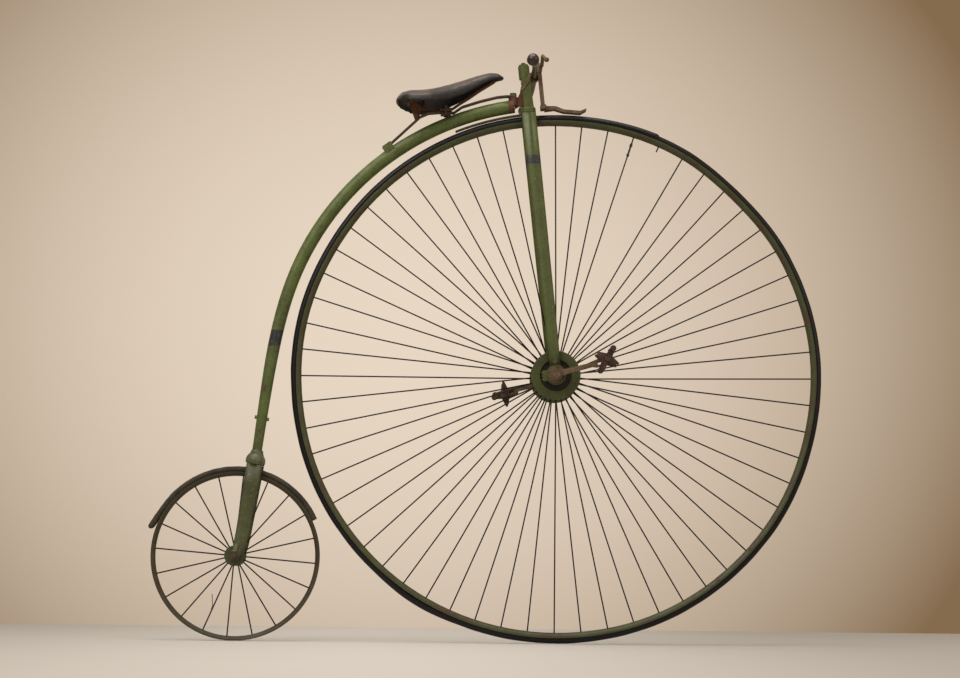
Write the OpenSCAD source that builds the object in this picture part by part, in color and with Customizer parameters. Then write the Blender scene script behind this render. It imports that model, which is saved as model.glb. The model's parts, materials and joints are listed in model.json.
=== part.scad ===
// High-wheeled bicycle with a solid-tyred front wheel, open-backed steering head and spoon brake.
// +X points forwards, +Y to the rider's left and +Z up. The origin is the seat point on the saddle.

/* [Front wheel] */
// Outside diameter of the front tyre
front_wheel_d = 1320; // [1100:10:1600]
// Diameter of the front tyre's round section
front_tyre_d = 18; // [14:1:22]
// Width of the front rim
front_rim_w = 25; // [22:1:30]
// Number of front spoke places
front_spokes_n = 60; // [40:4:72]
// Diameter of every front spoke
front_spoke_d = 2.7; // [2:0.1:4]
// Diameter of the hub flanges
front_flange_d = 122; // [100:2:150]
// Width of the front hub over its flanges
front_hub_w = 118; // [100:2:140]

/* [Cranks and pedals] */
// Distance from the front axle to the pedal pins
crank_len = 124; // [100:2:150]
// Angle of the right crank above the forward line
crank_angle = 15.4; // [-80:0.2:80]
// Diameter of the front axle
axle_d = 20; // [16:1:24]
// Diameter of the pedal pins
pedal_pin_d = 10; // [8:1:12]
// Width of a pedal between its end plates
pedal_w = 84; // [70:2:110]

/* [Fork and head] */
// Lean of the steering axis, its top to the rear
rake = 6.2; // [4:0.2:9]
// Gap between the front tyre and the crown above it
crown_gap = 6.5; // [5.5:0.5:14]
// Fore-and-aft width of a blade at the crown
blade_top_w = 36; // [30:1:42]
// Fore-and-aft width of a blade at the hub
blade_end_w = 27; // [22:1:32]
// Sideways distance from the middle to a blade's centre at the crown
blade_top_y = 28; // [27:1:34]
// Diameter of the steering spindle
spindle_d = 14; // [12:0.5:15]
// Width of the handlebar from ball to ball
bar_w = 670; // [560:10:760]
// Diameter of the handlebar
bar_d = 16.6; // [14:0.2:17]

/* [Backbone] */
// Diameter of the backbone behind the head
backbone_d = 33.4; // [28:0.2:34]
// Diameter of the backbone where it enters the rear crown
backbone_end_d = 24.4; // [20:0.2:28]
// Gap between the front tyre and the backbone's underside at the head
backbone_gap = 14.6; // [13:0.2:24]

/* [Rear wheel] */
// Outside radius of the rear rim, which stands on the ground where its tyre is missing
rear_rim_r = 208; // [170:1:250]
// Diameter of the rear tyre's round section
rear_tyre_d = 16; // [13:1:18]
// Width of the rear rim
rear_rim_w = 21; // [18:1:24]
// Number of rear spokes
rear_spokes_n = 20; // [12:2:28]
// Width of the rear hub over its flanges
rear_hub_w = 64; // [56:1:76]
// Gap between the two tyres
wheel_gap = 25.5; // [18:0.5:60]

/* [Saddle] */
// Length of the saddle
saddle_len = 272; // [240:2:300]
// Width of the saddle across the cantle
saddle_w = 194; // [160:2:230]
// Height of the seat point over the top of the front tyre
saddle_h = 66; // [62:1:90]
// Width of the saddle's flat spring
spring_w = 24; // [20:1:28]

/* [Hidden] */
$fn = 48;
facets = 28;
fit = 0.05;                     // running fit, and the gap round a shaft that is fixed in its hole
seat_gap = 0.2;                 // gap between curved pieces that sit on each other
clear = 5;                      // least gap between moving pieces

// Front wheel: the axle is the datum of the whole model
tyre_r = front_wheel_d / 2;
tyre_line = tyre_r - front_tyre_d / 2;
rim_line = tyre_line - 3.5;
rim_in = rim_line - front_rim_w / 2;
flange_r = front_flange_d / 2;
flange_t = 14;
recess_r = 39;                  // dished middle of each flange
recess_depth = 7;
spoke_in = 9;                   // how deep a spoke is screwed into the flange
missing_spoke = 11;
spoke_stub = 14;
spoke_y = front_hub_w / 2 - flange_t / 2;
spoke_phase = 0.3;

// Fork: heights h are measured along the steering axis from the top of the front tyre
crown_t = 12.5;
crown_h = crown_gap;
blade_top_t = 17;
blade_end_t = 14;
blade_in = front_hub_w / 2 + clear;
blade_end_y = blade_in + blade_end_t / 2;
blade_end_h = 24;               // the blade ends this far above the axle, on its bearing housing
housing_r = 25;
housing_w = blade_end_t + 2;
bolt_h = 34;

// Steering head
head_r = 15;
head_front = 15;
head_back = -9.5;
cheek_in = 15;
cheek_out = 20.5;
head_foot = crown_h + crown_t;
head_waist = 89;
barrel_r = 14;
barrel_h = 98;
barrel_top = 130;
journal_r = spindle_d / 2 - 1;
web_t = 7;
neck_len = 48;                  // from the steering axis back to the backbone's end

// Handlebar and brake
bar_x = head_front + bar_d / 2 + 0.3;
bar_h = 100;
lug_r = 13;
lug_w = 20;
ball_r = 15;
grip_len = 92;
pivot_x = bar_x + bar_d / 2 + 5.8;
pivot_h = 113;
arm_t = 10;
arm_w = 11;
arm_y = -19;
spoon_w = 26;
bar_droop = 22;
bar_sweep = 17;

// Cranks
crank_t = 10;
crank_in = blade_in + blade_end_t + 10;
crank_out = crank_in + crank_t;
boss_r = 14.5;
axle_end = crank_out + 3;
pedal_in = crank_out + 6;
pedal_mid = pedal_in + pedal_w / 2;
plate_t = 3;
bar_reach = 27;                 // from the pedal pin to each tread bar

// Rear wheel and fork
rear_tyre_line = rear_rim_r + 5;
rear_tyre_r = rear_tyre_line + rear_tyre_d / 2;
rear_rim_line = rear_rim_r - 0.7;
rear_flange_r = 25;
rear_flange_t = 8;
rear_axle_r = 5;
rear_spoke_y = (rear_hub_w - rear_flange_t) / 2;
rear_phase = 13.2;
axle_span = tyre_r + rear_tyre_r + wheel_gap;
rear_z = rear_rim_r - tyre_r;
rear_x = -sqrt(axle_span * axle_span - rear_z * rear_z);
loose_from = 144;               // the tyre remnant leaves the rim at this angle
loose_rise = 9;
tyre_cut = 25;
bulb_r = 22.5;
bulb_w = 74;
bulb_lean = 10.9;
bulb_dist = rear_tyre_r + 17.5;
bulb_x = rear_x + bulb_dist * sin(bulb_lean);
bulb_z = rear_z + bulb_dist * cos(bulb_lean);
arch_r = rear_tyre_r + loose_rise + clear + 1;
arch_w = 2 * (rear_tyre_d / 2 + 10.5);
rear_eye_t = 9;
rear_eye_in = rear_hub_w / 2 + 3;
rear_eye_r = 14;
rear_axle_end = 62;

// Backbone: its centre line is a curve round the front axle, given by angle
line_gap = backbone_gap + backbone_d / 2;
line_open = 0.11;               // mm that the curve opens for each degree
leave = 160;                    // from this angle it sweeps away towards the rear wheel
neck_angle = 90 + rake + asin(neck_len / (tyre_r + line_gap));
tail_angle = 180 + atan2(-bulb_z, -bulb_x);
tail_r = norm([bulb_x, bulb_z]);
function ring_r(a) = tyre_r + line_gap + line_open * (a - neck_angle);
sweep_rate = (tail_r - ring_r(tail_angle)) / pow(tail_angle - leave, 3);
function spine_r(a) = ring_r(a) + sweep_rate * pow(max(0, a - leave), 3);
function spine_d(a) = lookup(a, [[150, backbone_d], [176, backbone_d - 2.6], [193, backbone_end_d]]);
function polar(r, a) = [r * cos(a), 0, r * sin(a)];
spine_step = 2.4;
spine_n = ceil((tail_angle - neck_angle) / spine_step);
function spine_a(i) = neck_angle + (tail_angle - 0.9 - neck_angle) * i / spine_n;

// Saddle: x from the steering axis at the tyre's top, h from the tyre's top
head_x = -tyre_r * tan(rake);
seat_x = -228;
saddle_rear = -334;
leather_t = 5;
grow_l = saddle_len / 272;
grow_w = saddle_w / 194;
lift = saddle_h - 66;
// x, half width, height of the ridge, height of the flap's edge
saddle_sections = [
    [-334, 16, 34, 28], [-329, 46, 43, 25], [-318, 72, 51, 22], [-300, 90, 56, 18],
    [-270, 96, 57, 15], [-245, 90, 61, 16], [-228, 80, 66, 19], [-200, 62, 75, 27],
    [-165, 45, 87, 42], [-145, 38, 94, 54], [-122, 31, 101.5, 68], [-98, 26, 107.5, 82],
    [-78, 21, 106, 88], [-66, 13, 99, 90], [-62, 6, 95.5, 91.5]
];
spring_t = 3.5;
pad_x = -39;
pad_top = 46;
clip_angle = 126.4;
clip_h = 5;
clamp_x = -208;
clamp_t = 5.4;                  // thickness of the clamp's upper plate
// x and h of the spring's middle, between the clip on the backbone and the pad on the neck
spring_line = [[-273, -8], [-252, 1.5], [-228, 4], [-188, 4], [-167, 19], [-122, 34], [-80, 45],
               [-56, pad_top + spring_t / 2 + 0.1], [-31, pad_top + spring_t / 2 + 0.1]];

green = "#50632f";
rust = "#8a5a38";
iron = "#6e5540";
rubber = "#23242a";
horn = "#2b2420";
leather = "#3a302a";

// --- placing and shaping ---

// Moves a piece from the front-axle datum to the seat-point datum
module place() {
    translate([-(head_x + seat_x), 0, -(tyre_r + saddle_h)]) children();
}

// The steering frame: the axis is +Z, with its zero at the top of the front tyre
module steered() {
    place() rotate([0, -rake, 0]) translate([0, 0, tyre_r]) children();
}

// The saddle's frame: level, over the top of the front tyre at the steering axis
module perched() {
    place() translate([head_x, 0, tyre_r]) children();
}

// The rear axle's frame
module at_rear() {
    place() translate([rear_x, 0, rear_z]) children();
}

// Stands a shape drawn in X and Y upright, with its axis along Y
module upright() {
    rotate([90, 0, 0]) children();
}

// A side profile in X and Z, extruded from y = from to y = to
module side_plate(from, to) {
    translate([0, to, 0]) rotate([90, 0, 0]) linear_extrude(to - from) children();
}

// A round bar along Y
module cross_bar(r, from, to) {
    translate([0, from, 0]) rotate([-90, 0, 0]) cylinder(r = r, h = to - from);
}

// A round bar between two points
module rod(p, q, r) {
    d = q - p;
    translate(p) rotate([0, acos(d[2] / norm(d)), atan2(d[1], d[0])]) cylinder(r = r, h = norm(d));
}

// A hexagonal nut or bolt head along Y
module hex_y(across, from, to) {
    translate([0, from, 0]) rotate([-90, 0, 0])
        linear_extrude(to - from) circle(r = across / sqrt(3), $fn = 6);
}

// Skins a list of rings with the same number of points, each right-handed about the way they run
module loft(rings) {
    n = len(rings[0]);
    last = len(rings) - 1;
    sides = [
        for (i = [0 : last - 1], j = [0 : n - 1])
            let (k = (j + 1) % n)
            each [[i * n + j, (i + 1) * n + j, (i + 1) * n + k], [i * n + j, (i + 1) * n + k, i * n + k]]
    ];
    ends = [[for (j = [0 : n - 1]) j], [for (j = [n - 1 : -1 : 0]) last * n + j]];
    polyhedron(points = [for (r = rings) each r], faces = concat(sides, ends), convexity = 4);
}

// An oval ring about c, with semi-axes a along u and b along v
function oval(c, u, v, a, b, n = facets) =
    [for (i = [0 : n - 1]) c + u * a * cos(360 * i / n) + v * b * sin(360 * i / n)];

// --- frame ---

module backbone() {
    side = [0, 1, 0];
    color(green) place() loft([
        for (i = [0 : spine_n])
            let (
                a = spine_a(i),
                c = polar(spine_r(a), a),
                ahead = polar(spine_r(a + 0.5), a + 0.5) - polar(spine_r(a - 0.5), a - 0.5),
                up = cross(ahead / norm(ahead), side)
            )
            oval(c, side, up, spine_d(a) / 2, spine_d(a) / 2)
    ]);
}

// Collar, web and upright spindle, forged in one, with the pad for the saddle spring
module steering_neck() {
    end = polar(spine_r(neck_angle), neck_angle);
    web_foot = head_foot + 10;
    color(rust) difference() {
        union() {
            place() translate(end) rotate([0, 180 - neck_angle, 0]) translate([0, 0, seat_gap])
                cylinder(r = backbone_d / 2, h = 14);
            steered() side_plate(-web_t / 2, web_t / 2) polygon([
                [14 - neck_len, 17], [-31, crown_h + crown_t + clear + 0.5], [-20, web_foot],
                [0, web_foot], [0, head_waist - 9], [-12, head_waist - 11], [-16, 62], [-30, 40]
            ]);
            steered() translate([0, 0, head_foot + 8.6])
                cylinder(d = spindle_d, h = head_waist - head_foot - 9.1);
            steered() translate([0, 0, head_foot + 1]) cylinder(r = journal_r, h = barrel_h + 12 - head_foot);
            perched() translate([pad_x, 0, 24]) cylinder(r = 11.5, h = pad_top - 24);
        }
        perched() translate([pad_x, 0, pad_top - 14]) cylinder(r = 4 + fit, h = 20);
    }
}

module rear_crown() {
    color(green) place() difference() {
        translate([bulb_x, 0, bulb_z]) union() {
            cross_bar(bulb_r, -bulb_w / 2 + 12, bulb_w / 2 - 12);
            for (s = [-1, 1]) translate([0, s * (bulb_w / 2 - bulb_r + 2), 0]) sphere(r = bulb_r - 2);
            rotate([0, bulb_lean - 2, 0]) translate([0, 0, 8])
                cylinder(r1 = backbone_end_d / 2 + 8, r2 = backbone_end_d / 2 + 1.5, h = 20);
        }
        translate([rear_x, 0, rear_z]) cross_bar(arch_r, -arch_w / 2, arch_w / 2);
        backbone_socket();
        for (s = [-1, 1]) rear_blade_slot(s);
    }
}

// Room for the backbone's end in the crown
module backbone_socket() {
    a = tail_angle - 0.9;
    lower = polar(spine_r(a), a);
    upper = polar(spine_r(a - 3), a - 3);
    rod(lower, upper, backbone_end_d / 2 + seat_gap);
}

// The flat seat that each blade is brazed to
module rear_blade_slot(s) {
    translate([bulb_x, 0, bulb_z]) rotate([0, bulb_lean, 0])
        translate([-40, min(s * 18, s * 80), -60]) cube([80, 62, 52]);
}

// One rear blade: oval, bowed a little forwards, with an eye for the axle
module rear_blade(s) {
    reach = bulb_dist;
    // share of the way down, forward bow, half width, half thickness, distance from the middle
    rows = [
        [0.036, 1.5, 20, 7, 26], [0.25, 3.6, 19, 7, 27.8], [0.5, 6, 17.8, 6.6, 30.5],
        [0.75, 8, 16.6, 6, 34.2], [0.86, 8, 16, 5.4, 39], [0.99, 7, 14.5, 4.5, 39.5]
    ];
    back = [sin(bulb_lean), 0, cos(bulb_lean)];
    fore = [cos(bulb_lean), 0, -sin(bulb_lean)];
    top = [bulb_x, 0, bulb_z];
    y_slack = rear_eye_in - 35;
    color(green) place() {
        difference() {
            union() {
                loft([
                    for (i = [len(rows) - 1 : -1 : 0])
                        let (row = rows[i], y = row[4] + y_slack * row[0])
                        oval(top - back * reach * row[0] + fore * row[1] + [0, s * y, 0],
                             fore, [0, 1, 0], row[2], row[3])
                ]);
                translate([rear_x, 0, rear_z])
                    cross_bar(rear_eye_r, min(s * rear_eye_in, s * (rear_eye_in + rear_eye_t)),
                              max(s * rear_eye_in, s * (rear_eye_in + rear_eye_t)));
            }
            translate([rear_x, 0, rear_z]) cross_bar(rear_axle_r + fit, -80, 80);
        }
    }
}

module rear_blade_left() { rear_blade(1); }
module rear_blade_right() { rear_blade(-1); }

module rear_axle() {
    color(iron) at_rear() cross_bar(rear_axle_r, -rear_axle_end, rear_axle_end);
}

module rear_axle_nuts() {
    from = rear_eye_in + rear_eye_t + 0.1;
    color(iron) at_rear() for (s = [0, 180]) rotate([0, 0, s]) difference() {
        union() {
            cross_bar(11, from, from + 1.6);
            hex_y(16, from + 1.6, from + 8);
        }
        cross_bar(rear_axle_r + fit, from - 1, from + 10);
    }
}

// The stump of the mounting step: a stud through the backbone
module step_stud() {
    a = tail_angle - 7.7;
    reach = spine_d(a) / 2 + 5;
    color(green) place() translate(polar(spine_r(a), a)) rotate([0, 90 + 11, 0])
        translate([0, 0, -reach]) cylinder(r = 4.5, h = 2 * reach);
}

// --- saddle ---

// Arch across the saddle: its half width, and the heights of its ridge and of its lower edge
function arch(x, w, top, low) =
    [for (i = [0 : 16]) let (t = 180 * i / 16)
        [x, w * cos(t) * (0.82 + 0.18 * abs(cos(t))), low + (top - low) * pow(sin(t), 0.62)]];

function saddle_x(x) = seat_x + (x - seat_x) * grow_l;

// Leather top with hanging flaps, hollow underneath
module saddle_leather() {
    n = len(saddle_sections);
    color(leather) perched() difference() {
        loft([for (row = saddle_sections)
            arch(saddle_x(row[0]), row[1] * grow_w, row[2] + lift, row[3] + lift)]);
        loft([for (i = [1 : n - 2])
            let (row = saddle_sections[i])
            arch(saddle_x(row[0]) + (i == 1 ? 2 : 0), row[1] * grow_w - leather_t,
                 row[2] + lift - leather_t, row[3] + lift - 9)]);
    }
}

// Strip of even thickness along a list of [x, h] points
function offset_line(pts, d) =
    [for (i = [0 : len(pts) - 1])
        let (a = pts[max(i - 1, 0)], b = pts[min(i + 1, len(pts) - 1)], t = (b - a) / norm(b - a))
        pts[i] + [-t[1], t[0]] * d];

module strip(pts, t, w) {
    upper = offset_line(pts, t / 2);
    lower = offset_line(pts, -t / 2);
    side_plate(-w / 2, w / 2)
        polygon(concat(upper, [for (i = [len(lower) - 1 : -1 : 0]) lower[i]]));
}

// Iron under the leather: cantle, spine to the nose and two ears beside the spring
module saddle_frame() {
    seat_h = spring_h(clamp_x) + spring_t / 2 + 2 * seat_gap + clamp_t + 2;
    spine = [[-304, 33], [-296, 28], [-280, seat_h + 4], [-262, seat_h], [-192, seat_h], [-172, 28],
             [-150, 42], [-125, 60], [-100, 76], [-86, 85]];
    ear_in = spring_w / 2 + 1.5;
    color(rust) perched() {
        strip([for (p = spine) [saddle_x(p[0]), p[1] + (p[1] > 25 ? lift : 0)]], 4, 20);
        translate([saddle_x(-238), 0, 26 + lift]) difference() {
            cylinder(r = 69 * grow_w, h = 15.2);
            translate([0, 0, -1]) cylinder(r = 64 * grow_w, h = 18);
            translate([-24, -120, -1]) cube([160, 240, 18]);
        }
        translate([saddle_x(-302), -ear_in - 3.5, 26 + lift]) cube([16, 2 * ear_in + 7, 5]);
        for (s = [-1, 1]) side_plate(min(s * ear_in, s * (ear_in + 3.5)), max(s * ear_in, s * (ear_in + 3.5)))
            polygon([
                [saddle_x(-302), 31 + lift], [saddle_x(-285), -14], [saddle_x(-280), -13],
                [saddle_x(-268), 12], [saddle_x(-284), 31 + lift]
            ]);
    }
}

// Two plates and two bolts that grip the spring
module saddle_clamp() {
    under = spring_t / 2 + seat_gap + 3.6;
    color(iron) perched() translate([clamp_x, 0, spring_h(clamp_x)]) {
        translate([-15, -19, spring_t / 2 + seat_gap]) cube([30, 38, clamp_t]);
        translate([-13, -19, -under]) cube([26, 38, 3.6]);
        for (s = [-1, 1]) translate([0, s * (spring_w / 2 + 3.8), -under - 2.4]) {
            cylinder(r = 3.4, h = 24);
            linear_extrude(4) circle(r = 5.6, $fn = 6);
        }
    }
}

function spring_h(x) = lookup(x, spring_line);

function spring_path() =
    let (foot = polar(spine_r(clip_angle) + spine_d(clip_angle) / 2 + clip_h + spring_t / 2, clip_angle))
    let (f = [foot[0] - head_x, foot[2] - tyre_r], run = [cos(clip_angle - 90), sin(clip_angle - 90)])
    concat([f - run * 12, f + run * 15], spring_line);

module saddle_spring() {
    color(iron) perched() difference() {
        strip(spring_path(), spring_t, spring_w);
        translate([pad_x, 0, pad_top - 5]) cylinder(r = 4 + fit, h = 20);
    }
}

module spring_bolt() {
    color(green) perched() translate([pad_x, 0, pad_top + spring_t + 0.1]) {
        translate([0, 0, -spring_t - 12]) cylinder(r = 4, h = spring_t + 13);
        cylinder(r = 9.5, h = 1.8);
        linear_extrude(7) circle(r = 8, $fn = 6);
    }
}

// Pad on the backbone that the spring's tail slides on
module spring_clip() {
    r = spine_r(clip_angle);
    d = spine_d(clip_angle);
    color(green) place() translate(polar(r, clip_angle)) rotate([0, 90 - clip_angle, 0]) difference() {
        union() {
            translate([-12, -9, d / 2 - 6]) cube([24, 18, 6 + clip_h - 0.3]);
            for (s = [-1, 1]) translate([-12, s * (spring_w / 2 + 2.2) - 2, d / 2 - 10])
                cube([24, 4, 10 + clip_h + spring_t + 2.4]);
            translate([-12, -spring_w / 2 - 4, d / 2 + clip_h + spring_t + 0.2]) cube([24, spring_w + 8, 2.4]);
            translate([-12, -spring_w / 2 - 2, d / 2 - 4]) cube([24, spring_w + 4, 4 + clip_h - 0.3]);
        }
        rod([-40, 0, 0], [40, 0, 0], d / 2 + 0.35);
    }
}

// --- fork ---

// A fork blade from its bearing housing up to the crown
module fork_blade(s) {
    top = tyre_r + crown_h - 0.1;
    // height above the axle, width, thickness, distance from the middle
    rows = [
        [blade_end_h, blade_end_w, blade_end_t, blade_end_y],
        [58, blade_end_w + 0.6, blade_end_t, blade_end_y],
        [120, blade_end_w + 2, blade_end_t + 0.6, blade_end_y - 4],
        [top - 130, blade_top_w - 1.4, blade_top_t - 0.6, blade_top_y + 8],
        [top, blade_top_w, blade_top_t, blade_top_y]
    ];
    color(green) steered() translate([0, 0, -tyre_r]) difference() {
        loft([
            for (row = rows) oval([0, s * row[3], row[0]], [1, 0, 0], [0, 1, 0], row[1] / 2, row[2] / 2)
        ]);
        translate([0, 0, bolt_h]) cross_bar(4 + fit, -200, 200);
    }
}

module fork_blade_left() { fork_blade(1); }
module fork_blade_right() { fork_blade(-1); }

module fork_crown() {
    reach = blade_top_y + blade_top_t / 2 + 0.5 - blade_top_w / 2;
    color(green) steered() translate([0, 0, crown_h]) {
        for (s = [-1, 1]) translate([0, s * reach, 0]) cylinder(d = blade_top_w + 1, h = crown_t);
        translate([-blade_top_w / 2 - 0.5, -reach, 0]) cube([blade_top_w + 1, 2 * reach, crown_t]);
    }
}

// Open-backed head: foot, two cheeks with a front wall, shoulder and barrel
module steering_head() {
    foot = head_foot + 0.1;
    color(green) steered() difference() {
        union() {
            translate([0, 0, foot]) cylinder(r = head_r, h = 8);
            translate([head_back, -cheek_out, foot]) cube([head_front - head_back, 2 * cheek_out, 7]);
            for (s = [-1, 1])
                side_plate(min(s * cheek_in, s * cheek_out), max(s * cheek_in, s * cheek_out)) head_profile();
            side_plate(-cheek_out, cheek_out) intersection() {
                head_profile();
                translate([spindle_d / 2 + 1.6, 0]) square([20, 200]);
            }
            translate([head_back, -cheek_out, head_waist])
                cube([head_front - head_back, 2 * cheek_out, barrel_h - head_waist]);
            translate([0, 0, barrel_h - 1]) cylinder(r = barrel_r, h = barrel_top - barrel_h + 1);
        }
        translate([0, 0, foot - 1]) cylinder(r = journal_r + fit, h = barrel_h + 30 - foot);
        translate([0, 0, barrel_h + 14]) cylinder(r = 8 + fit, h = 40);
    }
}

// Side view of the head, a little waisted
module head_profile() {
    polygon([
        [head_back, head_foot + 0.1], [head_front, head_foot + 0.1], [head_front - 2.4, 70],
        [head_front - 2, head_waist - 1], [head_front, barrel_h], [head_back, barrel_h],
        [head_back + 0.8, 70]
    ]);
}

// Threaded cone on top of the spindle, with its square head and lock nut
module head_adjuster() {
    color(green) steered() translate([0, 0, barrel_h + 14.2]) {
        cylinder(r = 8, h = barrel_top - barrel_h - 14);
        translate([0, 0, barrel_top - barrel_h - 14.1]) cylinder(r = 11.5, h = 4);
        translate([-5, -5, barrel_top - barrel_h - 12]) cube([10, 10, 6.5]);
    }
}

module handlebar_lug() {
    color(green) steered() translate([bar_x, 0, bar_h]) difference() {
        union() {
            cross_bar(lug_r, -lug_w / 2, lug_w / 2);
            translate([-bar_x, -8, -9]) cube([bar_x, 16, 20]);
        }
        cross_bar(bar_d / 2 + fit, -20, 20);
        translate([-bar_x, 0, -60]) cylinder(r = barrel_r + seat_gap, h = 140);
        translate([-bar_x + head_front + seat_gap - 40, -cheek_out - 1, barrel_h + seat_gap - bar_h - 60])
            cube([40, 2 * cheek_out + 2, 60]);
    }
}

// x, y and h of the bar's centre line on the left, from the middle to the grip's end
function bar_point(y) =
    let (t = max(0, abs(y) - 55) / (bar_w / 2 - 70))
    [bar_x - bar_sweep * t * t, y, bar_h - bar_droop * pow(t, 1.5)];

module handlebar() {
    reach = bar_w / 2 - 30;
    n = 18;
    color(horn) steered() loft([
        for (i = [-n : n])
            oval(bar_point(reach * i / n), [0, 0, 1], [1, 0, 0], bar_d / 2, bar_d / 2, 24)
    ]);
}

// Turned grip with a ball end, on the bar's end
module grip(s) {
    inner = bar_point(s * (bar_w / 2 - grip_len - 10));
    outer = bar_point(s * (bar_w / 2 - ball_r));
    d = outer - inner;
    span = norm(d);
    color(horn) steered() translate(inner)
        rotate([0, acos(d[2] / span), atan2(d[1], d[0])]) difference() {
            union() {
                cylinder(r1 = 10, r2 = 11.5, h = span * 0.45);
                translate([0, 0, span * 0.45]) cylinder(r1 = 11.5, r2 = 9.8, h = span * 0.47);
                translate([0, 0, span]) sphere(r = ball_r);
            }
            translate([0, 0, -1]) cylinder(r = bar_d / 2 + 0.6, h = span - 12);
        }
}

module grip_left() { grip(1); }
module grip_right() { grip(-1); }

// Plate on the handlebar with the brake's pivot pin
module brake_bracket() {
    inner = arm_y + arm_t / 2 + 0.4;
    outer = -lug_w / 2 - 0.2;
    color(iron) steered() difference() {
        union() {
            side_plate(inner, outer) polygon([
                [bar_x - 8, bar_h + 8], [bar_x - 4, bar_h - 10], [bar_x + 6, bar_h - 11],
                [pivot_x + 6, pivot_h - 5], [pivot_x + 3, pivot_h + 7], [pivot_x - 8, pivot_h + 4]
            ]);
            translate([bar_x, 0, bar_h]) cross_bar(bar_d / 2 + 4, inner, outer);
            translate([pivot_x, 0, pivot_h]) cross_bar(4, arm_y - arm_t / 2 - 3, outer - 1);
            translate([pivot_x, 0, pivot_h]) cross_bar(6.5, arm_y - arm_t / 2 - 3.6, arm_y - arm_t / 2 - 0.4);
        }
        translate([bar_x, 0, bar_h]) cross_bar(bar_d / 2 + fit, -40, 40);
        translate([head_front + seat_gap - 40, -40, barrel_h + seat_gap - 60]) cube([40, 80, 60]);
        cylinder(r = barrel_r + seat_gap, h = 200);
    }
}

// Hand lever along the front of the right-hand bar, with a curled end
module brake_lever() {
    r = 4.6;
    start = [pivot_x + 4, arm_y - arm_t / 2 - 1.2, pivot_h + 11];
    bend = [pivot_x + 5, -58, pivot_h + 3];
    mid = [pivot_x + 1, -170, pivot_h - 6];
    end = [pivot_x - 4, -bar_w / 2 + 62, pivot_h - 19];
    curl = end + [8, -8, -11];
    color(rust) steered() {
        rod(start, bend, r);
        rod(bend, mid, r);
        rod(mid, end, r);
        rod(end, curl, r - 0.6);
        for (p = [bend, mid, end]) translate(p) sphere(r = r + 0.02);
        translate(curl) sphere(r = 6);
    }
}

// Upright arm and the spoon over the tyre, one forging
module brake_spoon() {
    foot = 19.5;
    color(iron) steered() difference() {
        union() {
            side_plate(arm_y - arm_t / 2, arm_y + arm_t / 2) polygon([
                [pivot_x - 5, foot + 3], [pivot_x + 5, foot + 3], [pivot_x + 5, pivot_h - 8],
                [pivot_x + 8, pivot_h + 2], [pivot_x + 9, pivot_h + 17], [pivot_x - 2, pivot_h + 17],
                [pivot_x - 7.5, pivot_h + 3], [pivot_x - 5, pivot_h - 7]
            ]);
            side_plate(arm_y - arm_t / 2, spoon_w / 2) polygon([
                [pivot_x - 6, foot - 5.5], [pivot_x + 5, foot - 5.5], [pivot_x + 9, foot - 1],
                [pivot_x + 8, foot + 5], [pivot_x - 6, foot + 5]
            ]);
            side_plate(-spoon_w / 2, spoon_w / 2) polygon([
                [pivot_x + 4, foot - 9], [pivot_x + 28, foot - 8], [pivot_x + 51, foot - 17.5],
                [pivot_x + 92, foot - 25], [pivot_x + 108, foot - 18], [pivot_x + 109, foot - 13],
                [pivot_x + 93, foot - 17.5], [pivot_x + 53, foot - 10.5], [pivot_x + 33, foot],
                [pivot_x + 4, foot + 3]
            ]);
        }
        translate([0, 0, -tyre_r]) cross_bar(tyre_r + clear + 0.3, -60, 60);
        translate([pivot_x, 0, pivot_h]) cross_bar(4 + fit, arm_y - 20, arm_y + 20);
    }
}

// Thin flat strip from the handlebar lug down the head's right cheek
module brake_spring() {
    color(rust) steered() side_plate(-cheek_out - 2.8, -cheek_out - seat_gap) polygon([
        [-14.5, 66], [-13, 72], [4, 90], [10, 107], [14.5, 106], [9.5, 86], [-8, 67], [-13, 63]
    ]);
}

// Short strip over the tyre behind the crown
module front_guard() {
    in_r = tyre_r + clear + 0.3;
    out_r = in_r + 2.4;
    from = 90 + rake + asin((blade_top_w / 2 + 1) / tyre_r);
    color(green) {
        place() upright() rotate([0, 0, from]) rotate_extrude(angle = 14.6)
            translate([in_r, -13]) square([out_r - in_r, 26]);
        steered() translate([-blade_top_w / 2 - 3.2, -9, clear + 1]) cube([2.5, 18, 9]);
    }
}

// Bearing housing under a blade, with its ribbed adjusting lug at the back
module bearing_housing(s) {
    from = blade_in - 1;
    color(green) place() rotate([0, -rake, 0]) rotate([0, 0, s > 0 ? 0 : 180]) mirror([s > 0 ? 0 : 1, 0, 0])
        difference() {
            union() {
                cross_bar(housing_r, from, from + housing_w);
                cross_bar(housing_r - 3, from - 8, from + 1);
                translate([-33, from + 1, -13]) cube([20, housing_w - 2, 26]);
                for (z = [-10, -2, 6]) translate([-36, from + 3, z]) cube([6, housing_w - 6, 4]);
            }
            translate([-50, from - 20, blade_end_h - 0.1]) cube([100, 60, 40]);
            cross_bar(axle_d / 2 + fit, 0, 200);
        }
}

module bearing_housing_left() { bearing_housing(1); }
module bearing_housing_right() { bearing_housing(-1); }

module bearing_bolts() {
    out = blade_in + blade_end_t;
    color(green) place() rotate([0, -rake, 0]) for (s = [0, 180]) rotate([0, 0, s])
        translate([0, 0, bolt_h]) {
            cross_bar(4, blade_in + 1, out + 2);
            cross_bar(8.4, out + 0.1, out + 1.5);
            hex_y(13, out + 1.5, out + 4);
        }
}

// --- front wheel ---

module rim_ring(line, width, outer, groove_line, groove_r) {
    upright() rotate_extrude($fn = 180) difference() {
        intersection() {
            translate([line, 0]) circle(d = width);
            translate([0, -width]) square([outer, 2 * width]);
        }
        translate([groove_line, 0]) circle(r = groove_r);
    }
}

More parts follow.
